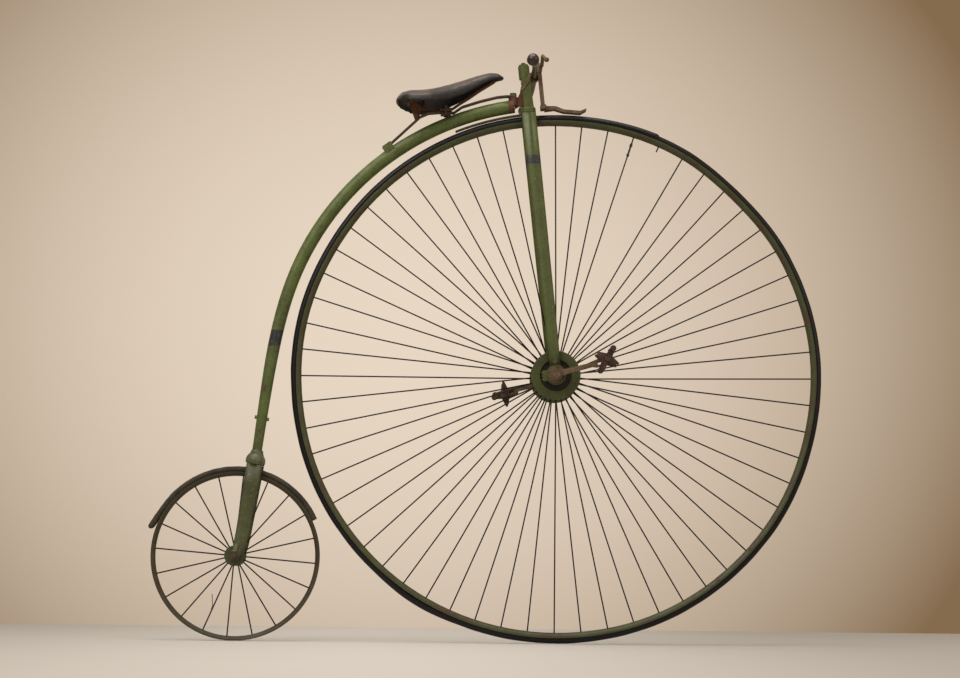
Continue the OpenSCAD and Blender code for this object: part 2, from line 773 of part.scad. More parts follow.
module front_tyre() {
    color(rubber) place() upright() rotate_extrude($fn = 180) translate([tyre_line, 0]) circle(d = front_tyre_d);
}

module front_rim() {
    color(green) place()
        rim_ring(rim_line, front_rim_w, rim_line + 1, tyre_line, front_tyre_d / 2 + seat_gap);
}

// Spokes alternate between the two flanges. One is broken off at the rim
module front_spokes() {
    color(iron) place() for (k = [0 : front_spokes_n - 1]) {
        a = 360 * k / front_spokes_n + spoke_phase;
        side = (k % 2 == 0) ? 1 : -1;
        p = polar(flange_r - spoke_in, a) + [0, side * spoke_y, 0];
        q = polar(rim_in + 4.5, a) + [0, side * 3, 0];
        rod(k == missing_spoke ? q + (p - q) / norm(p - q) * (spoke_stub + 4.5) : p, q, front_spoke_d / 2);
    }
}

module front_hub() {
    half = front_hub_w / 2;
    color(green) place() difference() {
        union() {
            cross_bar(axle_d / 2 + 10, -half + 3, half - 3);
            for (s = [0, 180]) rotate([0, 0, s]) {
                cross_bar(flange_r, half - flange_t, half);
                translate([0, half - flange_t, 0]) rotate([90, 0, 0])
                    cylinder(r1 = recess_r - 4, r2 = axle_d / 2 + 10, h = 14);
            }
        }
        for (s = [0, 180]) rotate([0, 0, s]) cross_bar(recess_r, half - recess_depth, half + 1);
        cross_bar(axle_d / 2 + fit, -half - 1, half + 1);
    }
}

module front_axle() {
    collar = blade_in + blade_end_t + 3;
    color(iron) place() {
        cross_bar(axle_d / 2, -axle_end, axle_end);
        for (s = [0, 180]) rotate([0, 0, s]) cross_bar(21, collar, collar + 3.4);
    }
}

// Crank with a slotted end that the pedal pin is clamped in
module crank(s) {
    from = min(s * crank_in, s * crank_out);
    color(rust) place() rotate([0, -crank_angle, 0]) rotate([0, s > 0 ? 180 : 0, 0])
        difference() {
            union() {
                side_plate(from, from + crank_t) polygon([
                    [0, -10], [26, -6.6], [crank_len - 34, -5.6], [crank_len - 24, -9.6],
                    [crank_len + 7, -9.6], [crank_len + 12, -6], [crank_len + 12, 6], [crank_len + 7, 9.6],
                    [crank_len - 24, 9.6], [crank_len - 34, 5.6], [26, 6.6], [0, 10]
                ]);
                cross_bar(boss_r, from - 1, from + crank_t + 1);
            }
            cross_bar(axle_d / 2 + fit, from - 5, from + crank_t + 5);
            translate([crank_len, 0, 0]) cross_bar(pedal_pin_d / 2 + fit, from - 5, from + crank_t + 5);
            translate([crank_len - 20, from - 5, -pedal_pin_d / 2 + 0.6])
                cube([15.6, crank_t + 10, pedal_pin_d - 1.2]);
        }
}

module crank_left() { crank(1); }
module crank_right() { crank(-1); }

// Cotter through each crank boss
module crank_cotters() {
    color(iron) place() rotate([0, -crank_angle, 0]) for (s = [-1, 1])
        translate([s * -7, s * (crank_in + crank_t / 2), -19]) cylinder(r = 3.2, h = 38);
}

module pedal_pins() {
    color(iron) place() for (s = [-1, 1]) rotate([0, -crank_angle, 0]) translate([-s * crank_len, 0, 0])
        rotate([0, 0, s > 0 ? 0 : 180]) {
            cross_bar(pedal_pin_d / 2, crank_in - 5, pedal_in + pedal_w + 2);
            hex_y(15, crank_in - 4.8, crank_in - 0.2);
            cross_bar(8, crank_out + 0.2, pedal_in - 0.6);
            cross_bar(8, pedal_in + pedal_w + 0.6, pedal_in + pedal_w + 5);
        }
}

// Rat-trap pedal: sleeve, two star-shaped end plates and two tread bars with round knobs
module pedal(s, turn) {
    out = pedal_in + pedal_w;
    color(horn) place() rotate([0, -crank_angle, 0]) translate([-s * crank_len, 0, 0])
        rotate([0, crank_angle - turn, 0]) rotate([0, 0, s > 0 ? 0 : 180]) difference() {
            union() {
                cross_bar(pedal_pin_d / 2 + 4.5, pedal_in + 0.2, out - 0.2);
                for (y = [pedal_in + 4, out - 4 - plate_t]) side_plate(y, y + plate_t) polygon([
                    [bar_reach + 5, -5], [bar_reach + 5, 5], [9, 8], [2.5, 30], [-2.5, 30], [-9, 8],
                    [-bar_reach - 5, 5], [-bar_reach - 5, -5], [-9, -8], [-2.5, -30], [2.5, -30], [9, -8]
                ]);
                for (x = [-bar_reach, bar_reach]) translate([x, 0, 0]) {
                    cross_bar(5.5, pedal_in + 4, out - 4);
                    cross_bar(7.5, pedal_in, pedal_in + 5);
                    cross_bar(7.5, out - 5, out);
                }
            }
            cross_bar(pedal_pin_d / 2 + fit, pedal_in - 5, out + 5);
        }
}

module pedal_left() { pedal(1, 12); }
module pedal_right() { pedal(-1, 62); }

// --- rear wheel ---

module rear_rim() {
    color(green) at_rear()
        rim_ring(rear_rim_line, rear_rim_w, rear_rim_r, rear_tyre_line, rear_tyre_d / 2 + seat_gap);
}

// What is left of the rear tyre. Its rear end has sprung off the rim
module rear_tyre_remnant() {
    loose_len = sqrt(2 * rear_tyre_line * loose_rise);
    color(leather) at_rear() upright() {
        rotate([0, 0, tyre_cut]) rotate_extrude(angle = loose_from - tyre_cut)
            translate([rear_tyre_line, 0]) circle(d = rear_tyre_d);
        rotate([0, 0, loose_from]) translate([rear_tyre_line, -3, 0]) rotate([-90, 0, 0]) {
            cylinder(r = rear_tyre_d / 2 - 0.1, h = loose_len + 3);
            translate([0, 0, loose_len + 3]) sphere(r = rear_tyre_d / 2);
        }
    }
}

module rear_spokes() {
    rim_in_r = rear_rim_line - rear_rim_w / 2;
    color(iron) at_rear() for (k = [0 : rear_spokes_n - 1]) {
        a = 360 * k / rear_spokes_n + rear_phase;
        side = (k % 2 == 0) ? -1 : 1;
        rod(polar(rear_flange_r - 6, a) + [0, side * rear_spoke_y, 0],
            polar(rim_in_r + 4, a) + [0, side * 2, 0], front_spoke_d / 2);
    }
}

module rear_hub() {
    half = rear_hub_w / 2;
    color(green) at_rear() difference() {
        union() {
            cross_bar(rear_axle_r + 7, -half + 2, half - 2);
            for (s = [0, 180]) rotate([0, 0, s]) cross_bar(rear_flange_r, half - rear_flange_t, half);
        }
        cross_bar(rear_axle_r + fit, -half - 1, half + 1);
    }
}

backbone();
steering_neck();
rear_crown();
rear_blade_left();
rear_blade_right();
rear_axle();
rear_axle_nuts();
step_stud();
saddle_leather();
saddle_frame();
saddle_clamp();
saddle_spring();
spring_bolt();
spring_clip();
fork_blade_left();
fork_blade_right();
fork_crown();
steering_head();
head_adjuster();
handlebar_lug();
handlebar();
grip_left();
grip_right();
brake_bracket();
brake_lever();
brake_spoon();
brake_spring();
front_guard();
bearing_housing_left();
bearing_housing_right();
bearing_bolts();
front_tyre();
front_rim();
front_spokes();
front_hub();
front_axle();
crank_left();
crank_right();
crank_cotters();
pedal_pins();
pedal_left();
pedal_right();
rear_rim();
rear_tyre_remnant();
rear_spokes();
rear_hub();
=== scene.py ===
import json
from math import atan2, cos, degrees, exp, hypot, pi, radians, sin, sqrt

import bmesh
import bpy
from mathutils import Matrix, Vector, noise


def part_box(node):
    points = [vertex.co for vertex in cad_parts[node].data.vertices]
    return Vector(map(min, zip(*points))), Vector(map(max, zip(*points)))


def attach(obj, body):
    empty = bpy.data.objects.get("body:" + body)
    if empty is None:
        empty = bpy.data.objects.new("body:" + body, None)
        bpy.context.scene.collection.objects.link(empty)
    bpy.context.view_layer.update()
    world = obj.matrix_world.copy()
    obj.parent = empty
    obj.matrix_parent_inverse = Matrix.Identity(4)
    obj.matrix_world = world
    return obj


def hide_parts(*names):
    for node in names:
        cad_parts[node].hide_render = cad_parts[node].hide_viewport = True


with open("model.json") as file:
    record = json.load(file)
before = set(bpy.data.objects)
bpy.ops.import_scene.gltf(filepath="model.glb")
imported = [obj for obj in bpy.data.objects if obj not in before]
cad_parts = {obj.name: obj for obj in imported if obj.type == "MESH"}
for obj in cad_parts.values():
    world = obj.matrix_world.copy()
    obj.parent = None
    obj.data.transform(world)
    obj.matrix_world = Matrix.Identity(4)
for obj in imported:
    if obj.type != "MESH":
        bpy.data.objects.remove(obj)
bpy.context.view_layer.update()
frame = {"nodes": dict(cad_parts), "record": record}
mm = 0.001


def middle(node):
    low, high = (Vector(p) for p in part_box(node))
    return (low + high) / 2


def halfWidth(node):
    low, high = (Vector(p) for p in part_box(node))
    return (high - low) / 2


frontAxle = middle("front_hub")
rearAxle = middle("rear_hub")
frontRadius = halfWidth("front_tyre").x
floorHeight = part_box("front_tyre")[0][2]

cameraSettings = {
    "fromAxle": (-0.2804, -5.942, -0.4846),  # metres from the front axle, near the floor
    "right": (0.99980, -0.01670, 0.01090),
    "up": (-0.01240, -0.09660, 0.99520),     # looks up by 5.5 degrees
    "lens": 89.73,
    "sensor": 36.0,
}


def makeCamera(s):
    data = bpy.data.cameras.new("photoCamera")
    data.lens = s["lens"]
    data.sensor_width = s["sensor"]
    data.clip_end = 60
    camera = bpy.data.objects.new("photoCamera", data)
    bpy.context.collection.objects.link(camera)
    right = Vector(s["right"]).normalized()
    back = right.cross(Vector(s["up"])).normalized()
    turn = Matrix((right, back.cross(right), back)).transposed().to_4x4()
    camera.matrix_world = Matrix.Translation(frontAxle + Vector(s["fromAxle"])) @ turn
    bpy.context.scene.camera = camera


makeCamera(cameraSettings)
bpy.context.scene.view_settings.view_transform = "Standard"


def colour(code):
    channels = [int(code[i : i + 2], 16) / 255 for i in (1, 3, 5)]
    linear = [c / 12.92 if c <= 0.04045 else ((c + 0.055) / 1.055) ** 2.4 for c in channels]
    return (*linear, 1.0)


def perMm(size):
    return 1000 / size  # noise scale that gives features of this size


def addNode(tree, kind, inputs=None, **settings):
    node = tree.nodes.new(kind)
    for key, value in settings.items():
        setattr(node, key, value)
    for key, value in (inputs or {}).items():
        if isinstance(value, bpy.types.NodeSocket):
            tree.links.new(value, node.inputs[key])
        else:
            node.inputs[key].default_value = value
    return node


def newMaterial(name):
    material = bpy.data.materials.new(name)
    material.use_nodes = True
    tree = material.node_tree
    tree.nodes.clear()
    place = addNode(tree, "ShaderNodeTexCoord").outputs["Object"]
    return material, tree, place


def grain(tree, place, size, detail=4.0, rough=0.6):
    inputs = {"Vector": place, "Scale": perMm(size), "Detail": detail, "Roughness": rough}
    return addNode(tree, "ShaderNodeTexNoise", inputs).outputs["Fac"]


def between(tree, value, low, high):
    inputs = {"Value": value, "From Min": low, "From Max": high}
    return addNode(tree, "ShaderNodeMapRange", inputs, clamp=True).outputs["Result"]


def spread(tree, value, low, high):
    inputs = {"Value": value, "To Min": low, "To Max": high}
    return addNode(tree, "ShaderNodeMapRange", inputs).outputs["Result"]


def blendColour(tree, factor, first, second):
    node = addNode(tree, "ShaderNodeMix", {"Factor": factor}, data_type="RGBA")
    for key, value in (("A", first), ("B", second)):
        socket = next(i for i in node.inputs if i.name == key and i.type == "RGBA")
        if isinstance(value, bpy.types.NodeSocket):
            tree.links.new(value, socket)
        else:
            socket.default_value = value
    return next(o for o in node.outputs if o.type == "RGBA")


def combine(tree, operation, first, second):
    return addNode(tree, "ShaderNodeMath", {0: first, 1: second}, operation=operation).outputs[0]


def vectorMath(tree, operation, output, *inputs):
    node = addNode(tree, "ShaderNodeVectorMath", dict(enumerate(inputs)), operation=operation)
    return node.outputs[output]


def partOf(tree, vector, axis):
    return addNode(tree, "ShaderNodeSeparateXYZ", {"Vector": vector}).outputs[axis]


def finishSurface(tree, base, roughness, height, depth, metallic=0.0, **extra):
    relief = addNode(tree, "ShaderNodeBump", {"Height": height, "Strength": 0.6, "Distance": depth * mm})
    inputs = {"Base Color": base, "Roughness": roughness, "Metallic": metallic,
              "Normal": relief.outputs["Normal"], **extra}
    shader = addNode(tree, "ShaderNodeBsdfPrincipled", inputs)
    addNode(tree, "ShaderNodeOutputMaterial", {"Surface": shader.outputs["BSDF"]})


enamelWearAndShade = {
    "blotch": 60, "grimeGrain": 9, "chipGrain": 4.5,  # mm
    # the recess colour is painted shade for the hub's recess; the other colours are the paint's own wear
    "grime": "#26240f", "band": "#23262c", "shadedRecess": "#12130b",
    "rust": ("#352414", "#5e4027"), "bareIron": "#3a2c1a", "primer": "#9c9678",
}


# Brushed oil enamel on forged iron, long weathered: satin where it holds, blotched with grime,
# dull rust where it has lifted, and chips of brown iron round specks of pale primer.
# rust and chips widen those two, bands are heights in metres that carry a dark stripe, and
# the last argument is a radius in mm from the front axle, inside which the face is painted black as shade
# in the hub's recess.
def oldEnamel(name, paint, faded, rust=0.0, chips=0.0, bands=(), shadedRecess=None):
    wearAndShade = enamelWearAndShade
    material, tree, place = newMaterial(name)
    blotch = grain(tree, place, wearAndShade["blotch"], 5)
    fine = grain(tree, place, wearAndShade["grimeGrain"], 6, 0.7)
    specks = grain(tree, place, wearAndShade["chipGrain"], 3, 0.75)
    tone = blendColour(tree, between(tree, blotch, 0.35, 0.65), colour(paint), colour(faded))
    grime = combine(tree, "MULTIPLY", between(tree, fine, 0.5, 0.7), 0.6)
    tone = blendColour(tree, grime, tone, colour(wearAndShade["grime"]))
    for low, high in bands:
        height = partOf(tree, place, "Z")
        inside = combine(tree, "MULTIPLY", combine(tree, "GREATER_THAN", height, low),
                         combine(tree, "LESS_THAN", height, high))
        worn = combine(tree, "MULTIPLY", inside, between(tree, grain(tree, place, 9, 4), 0.67, 0.56))
        tone = blendColour(tree, worn, tone, colour(wearAndShade["band"]))
    patches = combine(tree, "ADD", combine(tree, "MULTIPLY", blotch, 0.6),
                      combine(tree, "MULTIPLY", fine, 0.4))
    rusted = between(tree, patches, 0.62 - rust, 0.66 - rust)
    darkRust, lightRust = wearAndShade["rust"]
    tone = blendColour(tree, rusted, tone, blendColour(tree, fine, colour(darkRust), colour(lightRust)))
    for low, high, code in ((0.68, 0.70, wearAndShade["bareIron"]), (0.715, 0.735, wearAndShade["primer"])):
        chipped = combine(tree, "MULTIPLY", between(tree, specks, low - chips, high - chips), 0.8)
        tone = blendColour(tree, chipped, tone, colour(code))
    # painted shade: the hub's face goes black inside the recess radius from the front axle
    if shadedRecess:
        level = vectorMath(tree, "MULTIPLY", "Vector", place, (1.0, 0.0, 1.0))
        away = vectorMath(tree, "DISTANCE", "Value", level, (frontAxle.x, 0.0, frontAxle.z))
        recessShade = between(tree, away, (shadedRecess + 1.5) * mm, (shadedRecess - 1.5) * mm)
        tone = blendColour(tree, recessShade, tone, colour(wearAndShade["shadedRecess"]))
    relief = combine(tree, "ADD", fine, combine(tree, "MULTIPLY", rusted, 0.4))
    finishSurface(tree, tone, spread(tree, rusted, 0.5, 0.85), relief, 0.5)
    return material


# Forged iron rusted all over: a dry brown skin, lighter where the rust is powdery.
# The 3 mm grain is coarser than real rust, so that it shows.
def rustedIron(name, dark, mid, light, roughness=0.8, depth=0.6):
    material, tree, place = newMaterial(name)
    blotch = grain(tree, place, 22, 5)
    fine = grain(tree, place, 3, 5, 0.75)
    tone = blendColour(tree, between(tree, blotch, 0.38, 0.62), colour(dark), colour(mid))
    tone = blendColour(tree, between(tree, fine, 0.5, 0.75), tone, colour(light))
    finishSurface(tree, tone, roughness, fine, depth, 0.25)
    return material


# Solid moulded rubber gone hard: nearly black with a low gloss, or brown and quite matte.
# Its fine cracks are drawn as a 2.5 mm grain, so that they show.
def agedRubber(name, base, worn, roughness, gloss=0.5):
    material, tree, place = newMaterial(name)
    blotch = grain(tree, place, 45, 4)
    fine = grain(tree, place, 2.5, 6, 0.7)
    tone = blendColour(tree, between(tree, blotch, 0.4, 0.7), colour(base), colour(worn))
    finishSurface(tree, tone, roughness, fine, 0.35, **{"Specular IOR Level": gloss})
    return material


# Thick saddle leather: polished dark on its flaps, brown on top, partly scuffs and partly painted
# light on the faces that point up, with a patchy painted highlight along the fold between them.
# The pores are drawn at 2.6 mm, several times their size, so they show.
def saddleHide(name):
    material, tree, place = newMaterial(name)
    blotch = grain(tree, place, 38, 5)
    pores = addNode(tree, "ShaderNodeTexVoronoi", {"Vector": place, "Scale": perMm(2.6)},
                    feature="DISTANCE_TO_EDGE").outputs["Distance"]
    creases = grain(tree, place, 8, 6, 0.8)
    upward = partOf(tree, addNode(tree, "ShaderNodeNewGeometry").outputs["Normal"], "Z")
    # faces that point up are painted lighter brown: scuffing and painted light from above together
    scuffedAndToplit = combine(tree, "MULTIPLY", between(tree, upward, 0.45, 0.85),
                      between(tree, blotch, 0.3, 0.55))
    tone = blendColour(tree, scuffedAndToplit, colour("#150f0c"), colour("#4d4137"))
    # a patchy painted highlight along the fold between the top and the flaps
    foldHighlight = combine(tree, "MULTIPLY", between(tree, upward, 0.42, 0.52), between(tree, upward, 0.66, 0.54))
    patchyFoldHighlight = combine(tree, "MULTIPLY", foldHighlight, between(tree, blotch, 0.4, 0.6))
    tone = blendColour(tree, patchyFoldHighlight, tone, colour("#5f4d3e"))
    tone = blendColour(tree, between(tree, creases, 0.6, 0.75), tone, colour("#15100d"))
    relief = combine(tree, "ADD", between(tree, pores, 0.0, 0.25), combine(tree, "MULTIPLY", creases, 1.5))
    finishSurface(tree, tone, spread(tree, scuffedAndToplit, 0.38, 0.6), relief, 0.5)
    return material


# Turned horn, polished by hands: brown streaks under a clear gloss
def polishedHorn(name):
    material, tree, place = newMaterial(name)
    streaks = addNode(tree, "ShaderNodeMapping", {"Vector": place, "Scale": (1.0, 0.15, 1.0)})
    streaky = grain(tree, streaks.outputs["Vector"], 8, 4)
    tone = blendColour(tree, streaky, colour("#1a1310"), colour("#43332a"))
    finishSurface(tree, tone, 0.3, grain(tree, place, 12), 0.15)
    return material


# Dark stripes on the backbone and the blades, lowest and highest point in metres
tubeBand = (frontAxle.z + 0.069, frontAxle.z + 0.109)
bladeBand = (frontAxle.z + 0.531, frontAxle.z + 0.553)
greenBackbone = oldEnamel("oldGreenEnamelTube", "#5b682c", "#475222", 0.03, 0.035, [tubeBand])
greenBlade = oldEnamel("oldGreenEnamelBlade", "#4d561b", "#424b19", 0.0, 0.045, [bladeBand])
greenPart = oldEnamel("oldGreenEnamelSmall", "#525b1b", "#424a18", 0.03, 0.015)
greenHub = oldEnamel("oldGreenEnamelHub", "#434a19", "#373d15", 0.01, 0.0, shadedRecess=38.5)
greenDark = oldEnamel("oldGreenEnamelGrimy", "#484d22", "#38391a", -0.02, 0.07)
greenRim = oldEnamel("oldGreenEnamelRim", "#424820", "#383318", 0.07)
oliveRim = oldEnamel("oldOliveEnamelRim", "#3e371d", "#30270f", 0.03)
crownPaint = oldEnamel("fadedGreenEnamel", "#5c5e40", "#474a2c", 0.0, 0.05)
guardPaint = oldEnamel("fadedOliveEnamel", "#514e38", "#41402e", 0.02, 0.045)
spokeIron = rustedIron("rustedSpokeWire", "#150e08", "#20160d", "#35261a", 0.75, 0.2)
brownIron = rustedIron("brownForgedIron", "#43352a", "#5d4c39", "#7b6a54")
orangeIron = rustedIron("orangeRustedIron", "#523f2c", "#735c43", "#948062")
redIron = rustedIron("redRustedIron", "#50301c", "#66412a", "#7c5a42")
pedalIron = rustedIron("blackRustedIron", "#2a1c13", "#4c372a", "#785c4b")
blackRubber = agedRubber("hardenedBlackRubber", "#08090b", "#0f1014", 0.42, 0.3)
brownRubber = agedRubber("perishedBrownRubber", "#28231a", "#453c2a", 0.85)
hide = saddleHide("oldSaddleHide")
horn = polishedHorn("polishedBlackHorn")
print("materials made")

# Body of every node, as the record has them
bodies = frame["record"]["behaviour"]["bodies"]
bodyOf = {node: body for body, nodes in bodies.items() for node in nodes}


def addPiece(name, bm, node, material, stands=True, smooth=40):
    mesh = bpy.data.meshes.new(name)
    bm.to_mesh(mesh)
    bm.free()
    mesh.materials.append(material)
    mesh.shade_smooth()
    mesh.set_sharp_from_angle(angle=radians(smooth))
    piece = bpy.data.objects.new(name, mesh)
    bpy.context.collection.objects.link(piece)
    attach(piece, bodyOf[node])
    if stands:
        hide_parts(node)
    return piece


def copyOf(node):
    bm = bmesh.new()
    bm.from_mesh(frame["nodes"][node].data)
    bmesh.ops.remove_doubles(bm, verts=bm.verts, dist=2e-6)
    return bm


def softenEdges(piece, width):
    bevel = piece.modifiers.new("wornEdges", "BEVEL")
    bevel.width = width * mm
    bevel.segments = 2
    bevel.limit_method = "ANGLE"
    bevel.angle_limit = radians(38)


def bakeModifiers(piece):
    graph = bpy.context.evaluated_depsgraph_get()
    mesh = bpy.data.meshes.new_from_object(piece.evaluated_get(graph))
    piece.modifiers.clear()
    piece.data = mesh


def bump(angle, centre, half):
    away = abs((angle - centre + 180) % 360 - 180) / half
    return 0.0 if away >= 1 else cos(away * pi / 2) ** 2


# Tubes keep their CAD shape; forgings get worn edges, with the bevel's width in mm
smoothNodes = {
    "backbone": greenBackbone, "rear_blade_left": greenDark, "rear_blade_right": greenDark,
    "fork_blade_left": greenBlade, "fork_blade_right": greenBlade, "handlebar": horn,
}
for node, material in smoothNodes.items():
    addPiece(node + "Smooth", copyOf(node), node, material)

forgings = {
    "steering_head": (greenPart, 1.2), "fork_crown": (greenBlade, 1.5),
    "handlebar_lug": (greenPart, 1.0), "steering_neck": (redIron, 0.8),
    "brake_spoon": (orangeIron, 1.2), "brake_bracket": (brownIron, 0.6),
    "crank_left": (orangeIron, 1.2), "crank_right": (orangeIron, 1.2),
    "saddle_clamp": (brownIron, 0.7), "pedal_left": (pedalIron, 0.7),
    "pedal_right": (pedalIron, 0.7), "saddle_frame": (redIron, 0.8),
    "bearing_housing_left": (greenPart, 1.0), "bearing_housing_right": (greenPart, 1.0),
    "front_guard": (guardPaint, 0.7), "front_hub": (greenHub, 0.8), "rear_hub": (greenDark, 0.8),
    "rear_crown": (crownPaint, 1.0), "saddle_spring": (brownIron, 0.6),
}
for node, (material, width) in forgings.items():
    bm = copyOf(node)
    bmesh.ops.dissolve_limit(bm, angle_limit=radians(0.3), verts=bm.verts, edges=bm.edges)
    softenEdges(addPiece(node + "Forged", bm, node, material), width)
print("tubes and forgings made")

# CAD nodes that keep their own shape
ownShape = {
    "rear_axle": brownIron, "rear_axle_nuts": brownIron, "step_stud": greenBackbone,
    "spring_bolt": greenPart, "spring_clip": greenPart, "head_adjuster": greenPart,
    "grip_left": horn, "grip_right": horn, "brake_lever": orangeIron, "brake_spring": orangeIron,
    "bearing_bolts": greenDark, "front_axle": orangeIron, "crank_cotters": brownIron,
    "pedal_pins": pedalIron, "rear_rim": oliveRim,
}
for node, material in ownShape.items():
    mesh = frame["nodes"][node].data
    mesh.materials.clear()
    mesh.materials.append(material)

# Front tyre and rim, a little out of true. Angles are in degrees from straight ahead, up and
# over the top, and the rest is in mm. grow is how far the rubber stands past the CAD tyre.
tyreSettings = {
    "section": 9.8, "sides": 20, "steps": 720, "grow": 1.6,
    "waves": ((0.66, 7, 0), (0.42, 11, 40)),  # depth, number round the rim, start
    "offCentre": 4.0,                         # the rim has been pulled forward of the hub
    "dentAt": 45, "dentHalf": 17, "dent": 4.5,
    "flatAt": 268, "flatHalf": 24, "flat": 3.5,
    "liftAt": 239, "liftHalf": 12, "lift": 3.5,
    "jointAt": 67.4, "jointStep": 3.6, "jointFade": 34.0, "jointEnd": 120,
    "lumps": 0.6, "lumpsEvery": 0.21,
}
# The front spokes follow the rim. Front and rear ones are drawn 3.4 mm thick, where the CAD
# wire is 2.7 mm, so that they show dark: thickenBy moves each point out along its normal, in mm.
spokeSettings = {"rimRadius": 640.0, "thickenBy": 0.5}


def outOfTrue(angle):
    s = tyreSettings
    shift = sum(depth * sin(radians(count * angle + start)) for depth, count, start in s["waves"])
    shift += s["offCentre"] * cos(radians(angle))
    shift -= s["flat"] * bump(angle, s["flatAt"], s["flatHalf"])
    shift -= s["dent"] * bump(angle, s["dentAt"], s["dentHalf"])
    return shift * mm


def tyreShift(angle):
    s = tyreSettings
    past = (angle - s["jointAt"]) % 360
    step = s["jointStep"] * exp(-past / s["jointFade"]) if past < s["jointEnd"] else 0
    lift = s["lift"] * bump(angle, s["liftAt"], s["liftHalf"])
    lump = s["lumps"] * noise.noise(Vector((angle * s["lumpsEvery"], 3.1, 0)))
    return outOfTrue(angle) + (step + lift + lump) * mm


def moveRadially(bm, axle, shift, full=0.0):  # inside the radius full, a point moves in proportion
    for vert in bm.verts:
        x, z = vert.co.x - axle.x, vert.co.z - axle.z
        radius = hypot(x, z)
        angle = degrees(atan2(z, x)) % 360
        share = min(1.0, radius / full) if full else 1.0
        grow = 1 + shift(angle) * share / radius
        vert.co.x = axle.x + x * grow
        vert.co.z = axle.z + z * grow


def ringOfRubber(line, section, sides, start, sweep, steps, full):
    bm = bmesh.new()
    bmesh.ops.create_circle(bm, segments=sides, radius=section)
    bmesh.ops.translate(bm, verts=bm.verts, vec=(line, 0, 0))
    turn = Matrix.Rotation(-radians(start), 3, "Y")
    bmesh.ops.rotate(bm, verts=bm.verts, cent=(0, 0, 0), matrix=turn)
    bmesh.ops.spin(bm, geom=bm.verts[:] + bm.edges[:], cent=(0, 0, 0), axis=(0, -1, 0),
                   angle=radians(sweep), steps=steps, use_merge=full)
    return bm


def frontTyre(s):
    line = frontRadius + (s["grow"] - s["section"]) * mm
    bm = ringOfRubber(line, s["section"] * mm, s["sides"], 0, 360, s["steps"], True)
    bmesh.ops.recalc_face_normals(bm, faces=bm.faces)
    bmesh.ops.translate(bm, verts=bm.verts, vec=frontAxle)
    moveRadially(bm, frontAxle, tyreShift)
    addPiece("frontTyreRubber", bm, "front_tyre", blackRubber, smooth=80)
    rim = copyOf("front_rim")
    moveRadially(rim, frontAxle, outOfTrue)
    addPiece("frontRimTrued", rim, "front_rim", greenRim)


def thicken(bm, outwards):
    bm.normal_update()
    for vert, way in [(v, v.normal.copy()) for v in bm.verts]:
        vert.co += way * outwards * mm


def thickenedSpokes(s):
    spokes = copyOf("front_spokes")
    moveRadially(spokes, frontAxle, outOfTrue, s["rimRadius"] * mm)
    thicken(spokes, s["thickenBy"])
    addPiece("frontSpokesDrawn", spokes, "front_spokes", spokeIron)
    rearSpokes = copyOf("rear_spokes")
    thicken(rearSpokes, s["thickenBy"])
    addPiece("rearSpokesRusted", rearSpokes, "rear_spokes", spokeIron)


frontTyre(tyreSettings)
thickenedSpokes(spokeSettings)

# What is left of the rear tyre: torn off at one end, rounded and loose at the other
remnantSettings = {
    "section": 8.0, "sides": 20, "steps": 190, "seat": 5.0,
    "from": 25.0, "looseFrom": 144.0, "to": 163.0, "rise": 9.0,
    "roundEnd": 2.2, "lumps": 0.07, "tornOver": 0.8, "torn": 2.0,
}


def rearRemnant(s):
    line = halfWidth("rear_rim").x + s["seat"] * mm
    sweep = s["to"] - s["from"]
    bm = ringOfRubber(line, s["section"] * mm, s["sides"], s["from"], sweep, s["steps"], False)
    bmesh.ops.holes_fill(bm, edges=[e for e in bm.edges if e.is_boundary])
    for vert in bm.verts:
        angle = degrees(atan2(vert.co.z, vert.co.x)) % 360
        centre = Vector((cos(radians(angle)), 0, sin(radians(angle)))) * line
        tip = max(0.0, 1 - (s["to"] - angle) / s["roundEnd"])
        lump = 1 + s["lumps"] * noise.noise(Vector((angle * 0.35, vert.co.y * 90, 1.7)))
        vert.co = centre + (vert.co - centre) * sqrt(max(0.02, 1 - tip * tip)) * lump
        loose = max(0.0, angle - s["looseFrom"]) / (s["to"] - s["looseFrom"])
        vert.co += centre.normalized() * s["rise"] * mm * loose ** 2
        if angle < s["from"] + s["tornOver"]:
            vert.co += Vector((0, 0, 1)) * noise.noise(vert.co * 160) * s["torn"] * mm
    bmesh.ops.recalc_face_normals(bm, faces=bm.faces)
    bmesh.ops.translate(bm, verts=bm.verts, vec=rearAxle)
    addPiece("rearTyrePerished", bm, "rear_tyre_remnant", brownRubber, smooth=60)


rearRemnant(remnantSettings)
print("tyres made")

# Wire binding on the mended front spoke, and a loose whisker of wire on a rear one
bindingSettings = {
    "spokeAngle": 72.3, "hubRadius": 52.0, "rimRadius": 639.5, "hubInset": 7.0, "rimAside": 3.0,
    "fromRim": 16.0, "length": 34.0, "turns": 13, "wire": 1.1, "wrap": 1.7, "lump": 1.5,
}
whiskerSettings = {
    "spokeAngle": 247.3, "from": 136.0, "aside": 5.0, "knot": 7.0, "turns": 3, "wrap": 1.6,
    "length": 31.0, "wire": 0.9, "lean": -26.0,
}


